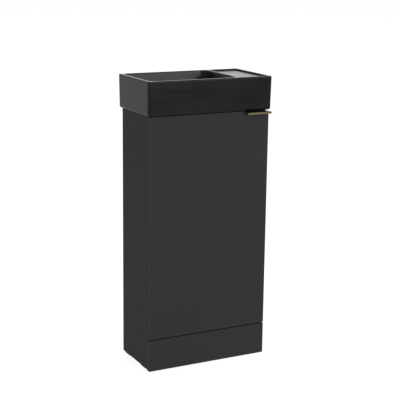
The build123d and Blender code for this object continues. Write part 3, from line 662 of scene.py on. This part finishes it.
# ---------------------------------------------------------------- mesh work
class Former:
    """Shapes one piece in millimetres out of bmesh operators."""

    def __init__(self) -> None:
        """Starts an empty shape."""
        self.shape = bmesh.new()

    def take(self, part: bmesh.types.BMesh, place: Matrix) -> None:
        """Cleans a part, moves it into place and adds it to the shape.

        Args:
            part: The part, which is freed.
            place: Where the part goes.
        """
        bmesh.ops.remove_doubles(part, verts=part.verts, dist=1e-4)
        bmesh.ops.recalc_face_normals(part, faces=part.faces)
        part.transform(place)
        mesh = bpy.data.meshes.new("part")
        part.to_mesh(mesh)
        part.free()
        self.shape.from_mesh(mesh)
        bpy.data.meshes.remove(mesh)

    def block(self, low: Vector, high: Vector, edge: float = 0.0, steps: int = 2,
              place: Optional[Matrix] = None) -> None:
        """Adds a box with rounded edges.

        Args:
            low: Its lowest corner.
            high: Its highest corner.
            edge: The radius of its edges.
            steps: The segments of each rounding.
            place: A transform of the whole box, if it isn't square to the axes.
        """
        part = bmesh.new()
        bmesh.ops.create_cube(part, size=1.0)
        bmesh.ops.scale(part, verts=part.verts, vec=high - low)
        bmesh.ops.translate(part, verts=part.verts, vec=(low + high) / 2)
        if edge:
            bmesh.ops.bevel(part, geom=list(part.edges), offset=edge, segments=steps, profile=0.5,
                            affect="EDGES", material=-1, clamp_overlap=True)
        self.take(part, place or Matrix())

    def turned(self, profile: Sequence[Point], base: Vector, axis: Vector, steps: int = 64,
               closed: bool = False) -> None:
        """Adds a body turned from a profile.

        Args:
            profile: Radius and height of each point, from one end of the profile to the other.
            base: The point of height 0 on the axis.
            axis: The direction of rising height.
            steps: The segments of a full turn.
            closed: True for a ring, whose profile's last point joins its first.
        """
        part = bmesh.new()
        verts = [part.verts.new((radius, 0.0, height)) for radius, height in profile]
        pairs = list(zip(verts, verts[1:])) + ([(verts[-1], verts[0])] if closed else [])
        edges = [part.edges.new(pair) for pair in pairs]
        bmesh.ops.spin(part, geom=verts + edges, cent=(0, 0, 0), axis=(0, 0, 1), angle=math.tau,
                       steps=steps, use_merge=True, use_duplicate=False)
        bmesh.ops.remove_doubles(part, verts=part.verts, dist=1e-4)
        bmesh.ops.dissolve_degenerate(part, edges=part.edges, dist=1e-4)
        turn = axis.to_track_quat("Z", "Y").to_matrix().to_4x4()
        self.take(part, Matrix.Translation(base) @ turn)

    def prism(self, outline: Sequence[Point], base: Vector, across: Vector, up: Vector,
              length: float) -> None:
        """Adds a straight bar of one cross-section.

        Args:
            outline: The cross-section's points, in the plane of across and up.
            base: The outline's origin at the bar's start.
            across: The outline's first direction.
            up: The outline's second direction.
            length: The bar's length along across x up.
        """
        part = bmesh.new()
        verts = [part.verts.new((x, y, 0.0)) for x, y in outline]
        made = bmesh.ops.contextual_create(part, geom=verts)
        pushed = bmesh.ops.extrude_face_region(part, geom=made["faces"])
        moved = [item for item in pushed["geom"] if isinstance(item, bmesh.types.BMVert)]
        bmesh.ops.translate(part, verts=moved, vec=(0, 0, length))
        turn = Matrix((across, up, across.cross(up))).transposed().to_4x4()
        self.take(part, Matrix.Translation(base) @ turn)

    def ribs(self, count: int, inner: float, outer: float, width: float, low: float, high: float,
             base: Vector, axis: Vector) -> None:
        """Adds grip ribs round a turned body.

        Args:
            count: How many ribs there are.
            inner: The radius where a rib starts, inside the body.
            outer: The radius where it ends.
            width: A rib's width.
            low: The height where it starts.
            high: The height where it ends.
            base: The point of height 0 on the axis.
            axis: The direction of rising height.
        """
        turn = Matrix.Translation(base) @ axis.to_track_quat("Z", "Y").to_matrix().to_4x4()
        for index in range(count):
            spin = Matrix.Rotation(math.tau * index / count, 4, "Z")
            self.block(Vector((inner, -width / 2, low)), Vector((outer, width / 2, high)), edge=width * 0.3,
                       place=turn @ spin)

    def bake(self, name: str, smooth: float = 35.0) -> bpy.types.Object:
        """Turns the shape into an object at the origin, in metres.

        Args:
            name: The object's name.
            smooth: The angle, in degrees, above which an edge stays sharp.

        Returns:
            The new object.
        """
        mesh = bpy.data.meshes.new(name)
        self.shape.transform(Matrix.Scale(MM, 4))
        self.shape.to_mesh(mesh)
        self.shape.free()
        mesh.shade_smooth()
        mesh.set_sharp_from_angle(angle=math.radians(smooth))
        made = bpy.data.objects.new(name, mesh)
        bpy.context.scene.collection.objects.link(made)
        return made


def carve(piece: bpy.types.Object, cutter: bpy.types.Object, smooth: float = 35.0) -> None:
    """Cuts one object out of another, and removes the cutter.

    Args:
        piece: The object to cut.
        cutter: The object that is taken out of it.
        smooth: The angle, in degrees, above which an edge stays sharp.
    """
    cut = piece.modifiers.new("cut", "BOOLEAN")
    cut.operation = "DIFFERENCE"
    cut.solver = "EXACT"
    cut.use_self = True
    cut.object = cutter
    baked = bpy.data.meshes.new_from_object(piece.evaluated_get(bpy.context.evaluated_depsgraph_get()))
    piece.modifiers.clear()
    worn = piece.data
    piece.data = baked
    baked.name = piece.name
    baked.shade_smooth()
    baked.set_sharp_from_angle(angle=math.radians(smooth))
    bpy.data.meshes.remove(worn)
    spent = cutter.data
    bpy.data.objects.remove(cutter)
    bpy.data.meshes.remove(spent)


def fit(piece: bpy.types.Object, stock: Stock, body: str, nodes: Iterable[str] = ()) -> bpy.types.Object:
    """Dresses a piece and hangs it on its CAD body.

    Args:
        piece: The piece.
        stock: What it is made in.
        body: The CAD body that it rides on.
        nodes: The CAD nodes that it stands for.

    Returns:
        The piece.
    """
    piece.data.materials.clear()
    piece.data.materials.append(stock.finish.material())
    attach(piece, body)
    if nodes:
        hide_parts(*nodes)
    LOG.info("made %s, %d faces, on %s", piece.name, len(piece.data.polygons), body)
    return piece


# ---------------------------------------------------------------- screws
class Head(Enum):
    """Screw head shapes, as points of radius and height in shares of the head's radius and height."""

    PAN = ((1.0, 0.0), (1.0, 0.35), (0.96, 0.55), (0.84, 0.76), (0.62, 0.91), (0.33, 0.98), (0.0, 1.0))
    FLUSH = ((0.60, 0.0), (1.0, 0.75), (1.0, 1.0), (0.0, 1.0))
    CHEESE = ((1.0, 0.0), (1.0, 0.82), (0.93, 1.0), (0.0, 1.0))


@dataclass
class ScrewSet:
    """The screws of one CAD node, with threads, and cross recesses in their heads."""

    node: str
    body: str
    direction: Vector
    head: Head
    head_radius: float
    head_height: float
    shank_radius: float
    pitch: float = 1.3
    recess_width: float = 0.30
    recess_reach: float = 0.62
    recess_depth: float = 0.60
    root_share: float = 0.74
    neck: float = 0.01

    def build(self) -> None:
        """Makes all the screws as one piece in place of the node."""
        screws, recess = Former(), Former()
        along = max(range(3), key=lambda axis: abs(self.direction[axis]))
        for low, high in islands(self.node):
            top = (low + high) / 2
            rising = self.direction[along] > 0
            top[along] = high[along] if rising else low[along]
            length = high[along] - low[along] - self.head_height
            base = top - self.direction * self.head_height
            screws.turned(self.profile(length), base, self.direction, steps=40)
            self.cut_cross(recess, top)
        piece = screws.bake(f"{self.node}_cross_headed")
        carve(piece, recess.bake("recess"))
        fit(piece, Stock.NICKEL, self.body, [self.node])

    def profile(self, length: float) -> list[Point]:
        """The screw's profile, from its tip to the middle of its head.

        Args:
            length: The shank's length below the head.

        Returns:
            Points of radius and height; the head's underside is at height 0.
        """
        root = self.shank_radius * self.root_share
        points = [(0.0, -length), (root * 0.5, -length + self.pitch * 0.5)]
        turns = max(int((length - self.pitch) / self.pitch) - 1, 0)
        for turn in range(turns):
            start = -length + self.pitch * (turn + 1)
            points += [(root, start), (self.shank_radius, start + self.pitch * 0.5)]
        points += [(root, points[-1][1] + self.pitch * 0.5), (root, -self.neck)]
        points += [(self.head_radius * radius, self.head_height * height)
                   for radius, height in self.head.value]
        return points

    def cut_cross(self, recess: Former, top: Vector) -> None:
        """Adds one cross-shaped cutter.

        Args:
            recess: The shape that collects the cutters.
            top: The middle of the head's outer face.
        """
        turn = Matrix.Translation(top) @ self.direction.to_track_quat("Z", "Y").to_matrix().to_4x4()
        half = self.head_radius * self.recess_width / 2
        reach = self.head_radius * self.recess_reach
        depth = self.head_height * self.recess_depth
        for wide, tall in ((reach, half), (half, reach)):
            recess.block(Vector((-wide, -tall, -depth)), Vector((wide, tall, depth)), place=turn)


# ---------------------------------------------------------------- carcass
@dataclass
class Carcass:
    """The boards, the plinth, the cams, the dowels, the shelf pins and the glides."""

    sides: tuple[str, ...] = ("side_panel_left", "side_panel_right")
    fronts: tuple[str, ...] = ("plinth", "back_panel", "rear_rail_upper", "rear_rail_lower")
    flats: tuple[str, ...] = ("base_board", "front_rail", "shelf")
    board_edge: float = 0.35
    cam_radius: float = 7.5
    cam_chamfer: float = 0.6
    cam_rim_edge: float = 0.4
    cam_rim_width: float = 1.2
    cam_dish_slope: float = 0.3
    cam_dish_depth: float = 0.35
    cross_reach: float = 4.2
    cross_half: float = 0.75
    cross_depth: float = 3.2
    dowel_radius: float = 3.5
    dowel_clearance: float = 0.3
    pin_root_chamfer: float = 0.5
    pin_tip_chamfer: float = 0.6
    pin_gap: float = 1.0
    collar_radius: float = 4.2
    collar_thickness: float = 0.8
    collar_edge: float = 0.2
    collar_fillet: float = 0.1
    bead_width: float = 1.7
    bead_height: float = 1.5
    glide_edge: float = 0.25

    def build(self) -> None:
        """Dresses the boards and makes the small fittings."""
        for axis, group in enumerate((self.sides, self.fronts, self.flats)):
            for node in group:
                board = paint_node(node, BoardFoil(f"foil_{node}", node=node, face_axis=axis))
                soften(board, self.board_edge)
        self.make_cams()
        paint_node("cam_dowels", Stock.ZINC.finish)
        paint_node("plinth_dowels", Stock.BEECH.finish)
        self.make_shelf_pins()
        self.make_sealant()
        soften(paint_node("glides", Stock.BLACK.finish), self.glide_edge)

    def make_cams(self) -> None:
        """Makes the cast cams, each with a rim, a cross recess and the opening for its dowel."""
        cams, cuts = Former(), Former()
        for low, high in islands("cam_locks"):
            size = high - low
            along = 2 if size.z < size.x - 1 else 1
            facing = Vector((0, 0, -1)) if along == 2 else Vector((0, -1, 0))
            face = (low + high) / 2
            face[along] = low[along]
            depth = size[along]
            radius = self.cam_radius
            rim = radius - self.cam_rim_width
            cams.turned([(0.0, -depth), (radius - self.cam_chamfer, -depth),
                         (radius, -depth + self.cam_chamfer), (radius, -self.cam_rim_edge),
                         (radius - self.cam_rim_edge, 0.0), (rim, 0.0),
                         (rim - self.cam_dish_slope, -self.cam_dish_depth), (0.0, -self.cam_dish_depth)],
                        face, facing, steps=48)
            turn = Matrix.Translation(face) @ facing.to_track_quat("Z", "Y").to_matrix().to_4x4()
            for wide, tall in ((self.cross_reach, self.cross_half), (self.cross_half, self.cross_reach)):
                cuts.block(Vector((-wide, -tall, -self.cross_depth)), Vector((wide, tall, 1.0)), place=turn)
            outward = Vector((math.copysign(1.0, face.x), 0, 0))
            core = face - facing * (depth - self.cam_core(along, low, high))
            hole = self.dowel_radius + self.dowel_clearance
            cuts.turned([(0.0, 0.0), (hole, 0.0), (hole, 2 * radius), (0.0, 2 * radius)], core, outward,
                        steps=32)
        piece = cams.bake("cam_lock_bodies")
        carve(piece, cuts.bake("cam_openings"))
        fit(piece, Stock.ZINC, "cabinet", ["cam_locks"])

    def cam_core(self, along: int, low: Vector, high: Vector) -> float:
        """Finds how deep a cam's dowel enters it.

        Args:
            along: The cam's own axis.
            low: The cam's lowest corner.
            high: The cam's highest corner.

        Returns:
            The height of the dowel's axis above the cam's inner end, in millimetres.
        """
        dowels = [box for box in islands("cam_dowels") if all(
            box[0][axis] < high[axis] + 1 and box[1][axis] > low[axis] - 1 for axis in range(3))]
        near_low, near_high = dowels[0]
        return high[along] - (near_low[along] + near_high[along]) / 2

    def make_shelf_pins(self) -> None:
        """Makes the shelf pins, each with a collar against its panel."""
        pins = Former()
        for low, high in islands("shelf_pins"):
            radius = (high.z - low.z) / 2
            inward = Vector((-math.copysign(1.0, low.x + high.x), 0, 0))
            root = (low + high) / 2
            root.x = max(abs(low.x), abs(high.x)) * -inward.x
            length = high.x - low.x
            shelf_end = abs(middle("shelf").x) + corners("shelf")[1].x
            panel = length - (shelf_end - min(abs(low.x), abs(high.x))) - self.pin_gap
            collar = panel + self.collar_thickness
            tip = self.pin_tip_chamfer
            pins.turned([(0.0, 0.0), (radius - self.pin_root_chamfer, 0.0), (radius, self.pin_root_chamfer),
                         (radius, panel), (self.collar_radius - self.collar_edge, panel),
                         (self.collar_radius, panel + self.collar_edge),
                         (self.collar_radius, collar - self.collar_edge),
                         (self.collar_radius - self.collar_edge, collar),
                         (radius, collar + self.collar_fillet), (radius, length - tip),
                         (radius - tip, length), (0.0, length)],
                        root, inward, steps=32)
        fit(pins.bake("shelf_pins_with_collars"), Stock.NICKEL, "cabinet", ["shelf_pins"])

    def make_sealant(self) -> None:
        """Runs a thin bead of sealant under the basin, round the two sides and the back of the cupboard."""
        bead = Former()
        left_low, left_high = corners("side_panel_left")
        right_high = corners("side_panel_right")[1]
        top = left_high.z
        outline = [(0.0, -self.bead_height), (self.bead_width * 0.35, -self.bead_height * 0.62),
                   (self.bead_width * 0.75, -self.bead_height * 0.25), (self.bead_width, 0.0), (0.0, 0.0)]
        depth = left_high.y - left_low.y
        width = right_high.x - left_low.x
        back = left_high.y
        up = Vector((0, 0, 1))
        bead.prism(outline, Vector((left_low.x, back, top)), Vector((-1, 0, 0)), up, -depth)
        bead.prism(outline, Vector((right_high.x, left_low.y, top)), Vector((1, 0, 0)), up, -depth)
        bead.prism(outline, Vector((left_low.x, back, top)), Vector((0, 1, 0)), up, width)
        fit(bead.bake("basin_sealant_bead", smooth=50.0), Stock.SEALANT, "cabinet")


# ---------------------------------------------------------------- door
@dataclass
class DoorLeaf:
    """The door, its edge pull, the pull's screws and the soft buffers."""

    board_edge: float = 0.35
    pull_edge: float = 0.3
    screw_head_radius: float = 3.5
    screw_head_height: float = 2.0
    screw_shank_radius: float = 1.75
    buffer_radius: float = 4.0

    def build(self) -> None:
        """Dresses the leaf and the pull and makes the screws and the buffers."""
        soften(paint_node("door", BoardFoil("foil_door", node="door", face_axis=1)), self.board_edge)
        soften(paint_node("door_handle", Stock.BRASS.finish), self.pull_edge)
        ScrewSet("handle_screws", "door", Vector((0, 1, 0)), Head.PAN, self.screw_head_radius,
                 self.screw_head_height, self.screw_shank_radius).build()
        self.make_buffers()

    def make_buffers(self) -> None:
        """Makes the domed, stick-on buffers."""
        buffers = Former()
        for low, high in islands("door_buffers"):
            base = (low + high) / 2
            base.y = low.y
            height = high.y - low.y
            radius = self.buffer_radius
            buffers.turned([(0.0, 0.0), (radius, 0.0), (radius, height * 0.3),
                            (radius * 0.93, height * 0.62), (radius * 0.76, height * 0.88),
                            (radius * 0.5, height), (0.0, height)],
                           base, Vector((0, 1, 0)), steps=40)
        fit(buffers.bake("domed_door_buffers", smooth=60.0), Stock.BUFFER, "door", ["door_buffers"])


# ---------------------------------------------------------------- hinges
@dataclass
class ConcealedHinge:
    """One concealed hinge: cup, link, arm, plate, pins and screws."""

    place: str
    plate_head_radius: float = 4.5
    plate_head_height: float = 1.5
    plate_shank_radius: float = 2.5
    arm_head_radius: float = 3.6
    arm_shank_radius: float = 2.0
    cup_head_radius: float = 3.15
    cup_head_height: float = 1.2
    cup_shank_radius: float = 1.75
    cup_mouth_radius: float = 16.4
    lip_height: float = 0.45
    lip_edge: float = 0.25
    lip_width: float = 1.1
    lip_sink: float = 0.3
    ridge_width: float = 5.0
    ridge_height: float = 0.5
    ridge_start_gap: float = 3.0
    ridge_end_gap: float = 4.0

    def node(self, part: str) -> str:
        """The CAD node's name of one of the hinge's parts."""
        return f"hinge_{part}_{self.place}"

    def build(self) -> None:
        """Dresses the stampings and makes the screws, the cup's lip and the arm's ridge."""
        for part, stock, edge in (("arm", Stock.STEEL, 0.25), ("link", Stock.STEEL, 0.2),
                                  ("plate", Stock.ZINC, 0.3), ("cup", Stock.NICKEL, 0.0),
                                  ("arm_pin", Stock.NICKEL, 0.2), ("cup_pin", Stock.NICKEL, 0.2)):
            target = paint_node(self.node(part), stock.finish)
            if edge:
                soften(target, edge)
        ScrewSet(self.node("plate_screws"), "cabinet", Vector((1, 0, 0)), Head.PAN, self.plate_head_radius,
                 self.plate_head_height, self.plate_shank_radius, pitch=2.2).build()
        ScrewSet(self.node("arm_screw"), "cabinet", Vector((1, 0, 0)), Head.CHEESE, self.arm_head_radius,
                 self.plate_head_height, self.arm_shank_radius).build()
        ScrewSet(self.node("cup_screws"), "door", Vector((0, 1, 0)), Head.FLUSH, self.cup_head_radius,
                 self.cup_head_height, self.cup_shank_radius).build()
        self.make_lip()
        self.make_ridge()

    def make_lip(self) -> None:
        """Rolls a lip round the cup's mouth."""
        low, high = corners(self.node("cup"))
        mouth = (low + high) / 2
        mouth.y = high.y
        lip = Former()
        radius, height, edge = self.cup_mouth_radius, self.lip_height, self.lip_edge
        rim = radius + self.lip_width
        lip.turned([(radius, -self.lip_sink), (radius, height * 0.6), (radius + edge, height),
                    (rim - edge, height), (rim, height * 0.6), (rim, -self.lip_sink)],
                   mouth, Vector((0, 1, 0)), closed=True)
        fit(lip.bake(f"hinge_cup_lip_{self.place}"), Stock.NICKEL, "door")

    def make_ridge(self) -> None:
        """Presses a long stiffening ridge in the arm's web, clear of its screw."""
        low, high = corners(self.node("arm"))
        screw_high = corners(self.node("arm_screw"))[1]
        heart = (low.z + high.z) / 2
        ridge = Former()
        half = self.ridge_width / 2
        start, end = screw_high.y + self.ridge_start_gap, high.y - self.ridge_end_gap
        ridge.block(Vector((high.x - 0.2, start, heart - half)),
                    Vector((high.x + self.ridge_height, end, heart + half)), edge=0.45)
        fit(ridge.bake(f"hinge_arm_ridge_{self.place}"), Stock.STEEL, "cabinet")


# ---------------------------------------------------------------- basin and waste
@dataclass
class BasinSet:
    """The basin, and the waste in its floor."""

    plug_rim: float = 4.0
    groove_radius: float = 21.6
    stem_radius: float = 4.0
    nut_edge: float = 0.4

    def build(self) -> None:
        """Dresses the basin and makes the waste."""
        paint_node("basin", Stock.BASIN.finish)
        paint_node("waste_body", Stock.CHROME.finish)
        paint_node("waste_sleeve", Stock.BLACK.finish)
        paint_node("waste_seals", Stock.SEAL.finish)
        soften(paint_node("waste_nut", Stock.TRAP.finish), self.nut_edge)
        self.make_plug()

    def make_plug(self) -> None:
        """Turns the plug, with a soft edge and a fine ring in its top."""
        low, high = corners("waste_plug")
        base = (low + high) / 2
        base.z = low.z
        radius = (high.x - low.x) / 2
        top = high.z - low.z
        under = top - self.plug_rim
        ring = self.groove_radius
        plug = Former()
        plug.turned([(0.0, 0.0), (self.stem_radius - 0.5, 0.0), (self.stem_radius, 0.5),
                     (self.stem_radius, under), (radius - 1.2, under), (radius - 0.4, under + 0.4),
                     (radius, under + 1.2), (radius - 0.25, top - 1.5), (radius - 0.9, top - 0.75),
                     (radius - 1.9, top - 0.2), (radius - 3.2, top), (ring + 0.5, top),
                     (ring + 0.2, top - 0.3), (ring - 0.2, top - 0.3), (ring - 0.5, top),
                     (ring * 0.5, top - 0.05), (0.0, top - 0.12)], base, Vector((0, 0, 1)), steps=96)
        fit(plug.bake("click_plug", smooth=40.0), Stock.CHROME, "plug", ["waste_plug"])


# ---------------------------------------------------------------- trap
@dataclass
class RibbedNut:
    """A hand-tightened plastic nut with grip ribs."""

    name: str
    node: str
    bore: float
    lip_bore: float
    lip: float = 2.5
    inset: float = 1.0
    rib_count: int = 26
    rib_width: float = 2.0
    axis: Vector = field(default_factory=lambda: Vector((0, 0, 1)))

    def build(self) -> None:
        """Makes the nut in place of its CAD node."""
        low, high = corners(self.node)
        along = 2 if self.axis.z else 1
        base = (low + high) / 2
        base[along] = low[along]
        height = high[along] - low[along]
        outer = (high.x - low.x) / 2
        body = outer - self.inset
        nut = Former()
        nut.turned([(self.bore, 0.0), (body - 0.5, 0.0), (body, 0.5), (body, height - 2.4),
                    (body - 0.6, height - 1.1), (body - 1.7, height - 0.2), (body - 2.4, height),
                    (self.lip_bore + 0.3, height), (self.lip_bore, height - 0.3),
                    (self.lip_bore, height - self.lip), (self.bore, height - self.lip)],
                   base, self.axis, steps=96, closed=True)
        nut.ribs(self.rib_count, body - 0.8, outer, self.rib_width, 0.9, height - 3.2, base, self.axis)
        fit(nut.bake(self.name), Stock.TRAP, "cabinet", [self.node])


@dataclass
class BottleTrap:
    """The plastic bottle trap and its pipe to the wall."""

    wall: float = 2.5
    cup_bore: float = 30.1
    cup_ribs: int = 32
    seam_width: float = 0.6
    seam_height: float = 0.35

    def build(self) -> None:
        """Dresses the mouldings and makes the nuts, the cup and the mould seams."""
        for node in ("trap_body", "trap_pipe"):
            paint_node(node, Stock.TRAP.finish)
        paint_node("trap_seals", Stock.SEAL.finish)
        RibbedNut("trap_inlet_nut_ribbed", "trap_inlet_nut", bore=22.7, lip_bore=20.1).build()
        RibbedNut("trap_outlet_nut_ribbed", "trap_outlet_nut", bore=18.7, lip_bore=16.1, rib_count=22,
                  axis=Vector((0, 1, 0))).build()
        self.make_cup()
        self.make_seams()

    def make_cup(self) -> None:
        """Turns the screw-on cup and sets grip ribs round it."""
        low, high = corners("trap_cup")
        base = (low + high) / 2
        base.z = low.z
        height = high.z - low.z
        outer = (high.x - low.x) / 2
        body = outer - 1.0
        cup = Former()
        floor = self.wall + 0.6
        cup.turned([(0.0, 0.6), (body - 12.0, 0.6), (body - 10.5, 0.0), (body - 4.0, 0.0),
                    (body - 2.4, 0.4), (body - 1.1, 1.3), (body - 0.3, 2.5), (body, 4.0),
                    (body, height - 1.0), (body - 0.6, height), (self.cup_bore + 0.5, height),
                    (self.cup_bore, height - 0.5), (self.cup_bore, floor), (0.0, floor)],
                   base, Vector((0, 0, 1)), steps=96)
        cup.ribs(self.cup_ribs, body - 0.8, outer, 2.2, 5.0, height - 1.8, base, Vector((0, 0, 1)))
        fit(cup.bake("trap_cup_ribbed"), Stock.TRAP, "cabinet", ["trap_cup"])

    def make_seams(self) -> None:
        """Leaves the mould's parting line standing on the two sides of the bottle."""
        low, high = corners("trap_body")
        cup_top = corners("trap_cup")[1].z
        shoulder = corners("trap_inlet_nut")[0].z
        seams = Former()
        heart = middle("waste_body")
        for side in (-1, 1):
            face = heart.x + side * (high.x - low.x) / 2
            inner, outer = sorted((face - side * 0.3, face + side * self.seam_height))
            seams.block(Vector((inner, heart.y - self.seam_width / 2, cup_top + 0.5)),
                        Vector((outer, heart.y + self.seam_width / 2, shoulder - 1.0)), edge=0.15)
        fit(seams.bake("trap_mould_seams"), Stock.TRAP, "cabinet")


# ---------------------------------------------------------------- studio
@dataclass(frozen=True)
class SoftBox:
    """One square area light: its centre, what it faces, its side in metres and its power in watts."""

    name: str
    where: Triple
    target: Triple
    side: float
    watts: float

    def build(self) -> None:
        """Hangs the light and turns it to its target."""
        data = bpy.data.lights.new(self.name, "AREA")
        data.size = self.side
        data.energy = self.watts
        box = bpy.data.objects.new(self.name, data)
        box.location = Vector(self.where)
        facing = Vector(self.target) - Vector(self.where)
        box.rotation_euler = facing.to_track_quat("-Z", "Y").to_euler()
        bpy.context.scene.collection.objects.link(box)


@dataclass
class Studio:
    """The pale floor, the soft lights and the camera."""

    floor_radius: float = 14.0
    floor_drop: float = 0.0002
    azimuth: float = -27.31
    elevation: float = 13.25
    roll: float = 0.75
    distance: float = 2.93784
    aim_offset: Vector = field(default_factory=lambda: Vector((-147.47, -320.27, 137.33)) * MM)
    lens: float = 98.08
    sensor: float = 36.0
    floor_albedo: float = 0.28
    floor_glow: float = 0.84
    sky_low: float = 1.01
    sky_high: float = 0.70
    lights: tuple[SoftBox, ...] = (
        SoftBox("overhead_box", (0.0, 0.4, 3.6), (0.0, 0.0, 0.4), 3.6, 30.0),
        SoftBox("back_box", (1.62, 3.14, 1.40), (0.0, 0.0, 0.8), 2.2, 9.8),
        SoftBox("front_box", (2.0, -3.9, 1.75), (0.0, 0.0, 0.6), 1.5, 75.0))

    def build(self) -> None:
        """Makes the whole studio."""
        bpy.context.scene.view_settings.view_transform = "Standard"
        self.make_camera()
        self.make_floor()
        self.make_world()
        for light in self.lights:
            light.build()

    def make_camera(self) -> None:
        """Stands the camera off the object's middle, with its small roll."""
        low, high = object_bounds()
        aim = (low + high) / 2 + self.aim_offset
        azimuth, elevation, roll = (math.radians(a) for a in (self.azimuth, self.elevation, self.roll))
        back = Vector((math.sin(azimuth) * math.cos(elevation), -math.cos(azimuth) * math.cos(elevation),
                       math.sin(elevation)))
        right = (-back).cross(Vector((0, 0, 1))).normalized()
        up = right.cross(-back)
        across = right * math.cos(roll) + up * math.sin(roll)
        along = up * math.cos(roll) - right * math.sin(roll)
        data = bpy.data.cameras.new("studio_camera")
        data.lens = self.lens
        data.sensor_width = self.sensor
        data.clip_end = 60.0
        camera = bpy.data.objects.new("studio_camera", data)
        camera.matrix_world = Matrix((across, along, back)).transposed().to_4x4()
        camera.location = aim + back * self.distance
        bpy.context.scene.collection.objects.link(camera)
        bpy.context.scene.camera = camera

    def make_floor(self) -> None:
        """Lays one large pale disc just under the feet."""
        mesh = bpy.data.meshes.new("studio_floor")
        shape = bmesh.new()
        bmesh.ops.create_circle(shape, cap_ends=True, segments=96, radius=self.floor_radius)
        bmesh.ops.translate(shape, verts=shape.verts, vec=(0, 0, -self.floor_drop))
        shape.to_mesh(mesh)
        shape.free()
        floor = bpy.data.objects.new("studio_floor", mesh)
        bpy.context.scene.collection.objects.link(floor)
        material = bpy.data.materials.new("pale_floor")
        material.use_nodes = True
        graph = Graph(material.node_tree)
        soft = graph.ramp(graph.noise(graph.place(), 0.7, 2.0), [(0.0, grey(0.97)), (1.0, grey(1.0))])
        paint = graph.node("BsdfDiffuse", Color=graph.blend("MULTIPLY", 1.0, soft, grey(self.floor_albedo)))
        glow = graph.node("Emission", Color=soft, Strength=self.floor_glow)
        surface = graph.node("AddShader")
        graph.feed(surface.inputs[0], paint.outputs[0])
        graph.feed(surface.inputs[1], glow.outputs[0])
        out = graph.node("OutputMaterial")
        graph.feed(out.inputs["Surface"], surface.outputs[0])
        mesh.materials.append(material)
        floor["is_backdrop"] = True

    def make_world(self) -> None:
        """Lights the room from a white backdrop, a little dimmer overhead."""
        world = bpy.data.worlds.new("studio_light")
        world.use_nodes = True
        bpy.context.scene.world = world
        graph = Graph(world.node_tree)
        split = graph.node("SeparateXYZ", Vector=graph.node("TexCoord").outputs["Generated"])
        rise = graph.math("MULTIPLY", graph.math("ADD", split.outputs[2], 1.0), 0.5)
        tone = graph.ramp(rise, [(0.45, grey(self.sky_low)), (0.95, grey(self.sky_high))])
        sky = graph.node("Background", Color=tone)
        out = graph.node("OutputWorld")
        graph.feed(out.inputs["Surface"], sky.outputs[0])


def main() -> None:
    """Builds the studio and dresses every sub-assembly."""
    logging.basicConfig(level=logging.INFO, format="%(name)s: %(message)s")
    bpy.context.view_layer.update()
    Studio().build()
    for assembly in (Carcass(), DoorLeaf(), ConcealedHinge("upper"), ConcealedHinge("lower"), BasinSet(),
                     BottleTrap()):
        assembly.build()
        LOG.info("finished %s", type(assembly).__name__)


if __name__ == "__main__":
    main()
